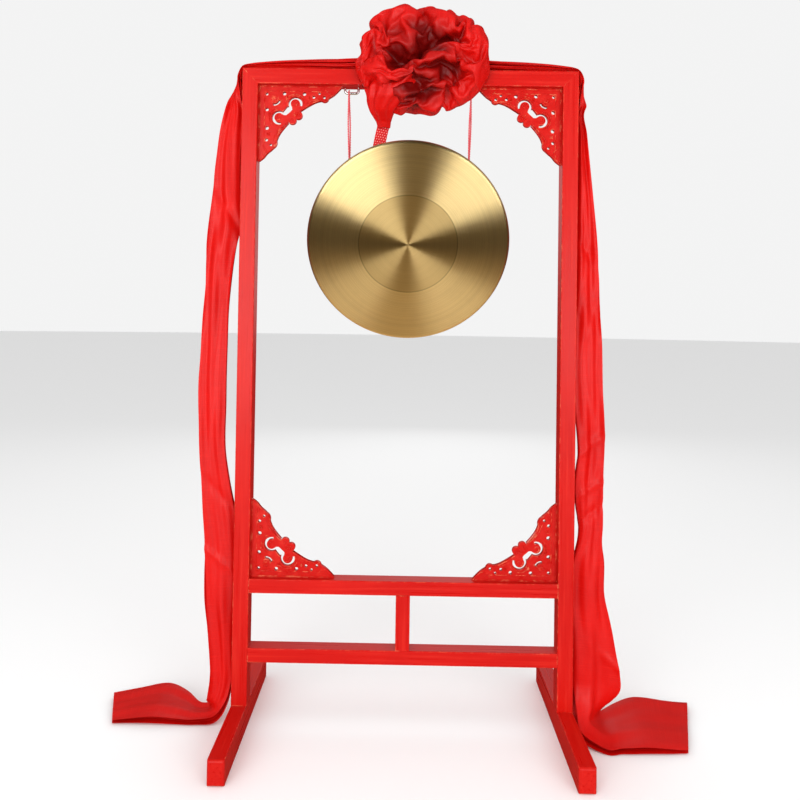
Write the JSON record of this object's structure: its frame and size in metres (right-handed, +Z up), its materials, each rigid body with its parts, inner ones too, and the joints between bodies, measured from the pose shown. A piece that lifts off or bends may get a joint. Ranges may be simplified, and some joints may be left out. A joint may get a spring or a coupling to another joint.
{
  "type": "tam tam gong",
  "caption": "Round brass gong with a turned-back rim, hung by looped cords from a red frame stand with carved corner brackets, a silk rosette and a long sash.",
  "frame": {"origin": "on the floor, below the middle of the stand", "axes": "+Z up, +X along the top rail to the right as the player faces the gong, -Y the side of the gong's face"},
  "size_m": [1.0864, 0.366, 1.29],
  "materials": {
    "red_lacquer": "glossy red lacquer over hardwood",
    "beech": "plain turned",
    "steel": "zinc plated",
    "chrome_wire": "bright plated",
    "red_silk": "satin silk",
    "woven_tie": "dotted woven braid",
    "red_cord": "twisted cord",
    "brass": "lathe-turned"
  },
  "bodies": {
    "stand": {"top_rail": "red_lacquer", "left_post": "red_lacquer", "right_post": "red_lacquer", "panel_rail": "red_lacquer", "lower_rail": "red_lacquer", "centre_strut": "red_lacquer", "left_foot": "red_lacquer", "right_foot": "red_lacquer", "bracket_top_left": "red_lacquer", "bracket_top_right": "red_lacquer", "bracket_bottom_left": "red_lacquer", "bracket_bottom_right": "red_lacquer", "mitre_dowels": "beech", "foot_screws": "steel", "bracket_pins": "beech", "left_hook": "chrome_wire", "right_hook": "chrome_wire", "rosette": "red_silk", "rosette_tie": "woven_tie", "tie_tail": "woven_tie", "sash_left": "red_silk", "sash_right": "red_silk"},
    "hangers": {"left_cord": "red_cord", "right_cord": "red_cord", "left_knot": "red_cord", "right_knot": "red_cord"},
    "gong": {"gong": "brass"}
  },
  "joints": [
    {"name": "gong_swing", "type": "hinge", "parent": "stand", "child": "hangers", "pos_m": [0, 0, 1.13], "axis": [1, 0, 0], "range_deg": [-15, 15], "deforming": ["tie_tail"]},
    {"name": "gong_tilt", "type": "hinge", "parent": "hangers", "child": "gong", "pos_m": [0, 0, 0.999], "axis": [1, 0, 0], "range_deg": [-10, 10]}
  ]
}
